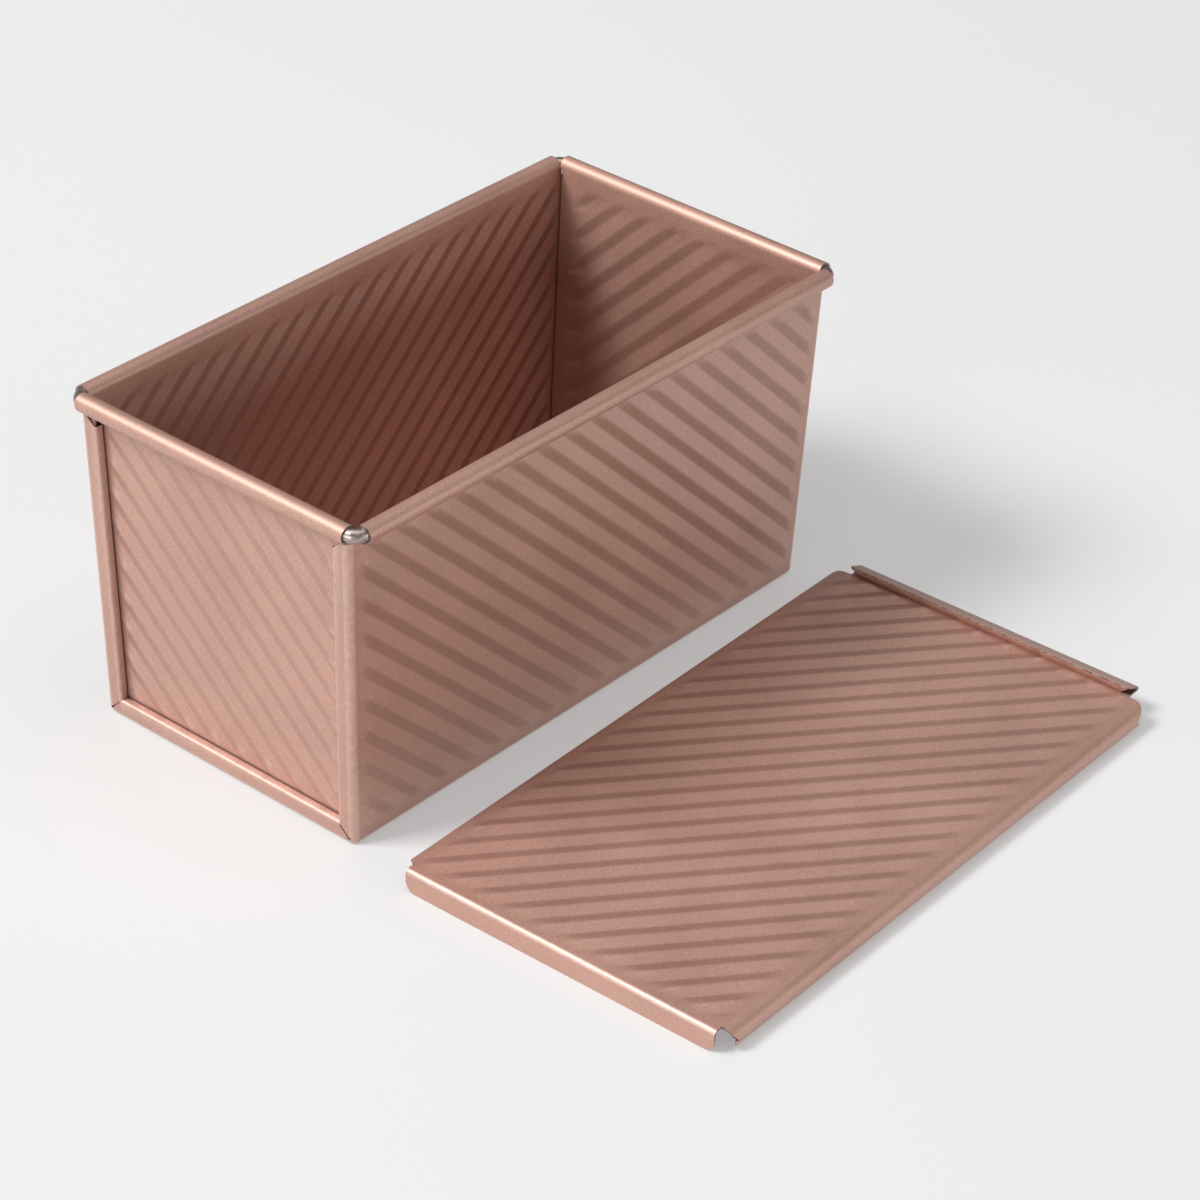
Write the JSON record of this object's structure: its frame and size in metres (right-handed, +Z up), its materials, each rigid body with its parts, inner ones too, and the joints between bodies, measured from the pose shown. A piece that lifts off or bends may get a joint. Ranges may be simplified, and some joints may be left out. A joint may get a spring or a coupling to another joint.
{
  "type": "pullman loaf pan",
  "caption": "Straight-sided ribbed loaf pan with rolled wire rims and a ribbed lid that slides on by folded channels.",
  "frame": {"origin": "middle of the pan's base, on the surface that it stands on", "axes": "+Z up, X along the pan's length with the lid's upturned pull at +X, the lid lies on the -Y side"},
  "size_m": [0.2237, 0.2509, 0.112],
  "materials": {
    "nonstick_pan": "rose-gold metallic non-stick coating on steel sheet",
    "nonstick_lid": "rose-gold metallic non-stick coating on steel sheet",
    "steel_wire": "bare drawn steel wire"
  },
  "bodies": {
    "pan": {"body_wrap": "nonstick_pan", "end_panel_near": "nonstick_pan", "end_panel_far": "nonstick_pan", "rim_wire": "steel_wire"},
    "lid": {"lid": "nonstick_lid"}
  },
  "joints": [
    {"name": "lid_slide", "type": "slide", "parent": "pan", "child": "lid", "axis": [-0.9996, -0.0298, 0], "range_m": [0, 0.204]}
  ]
}
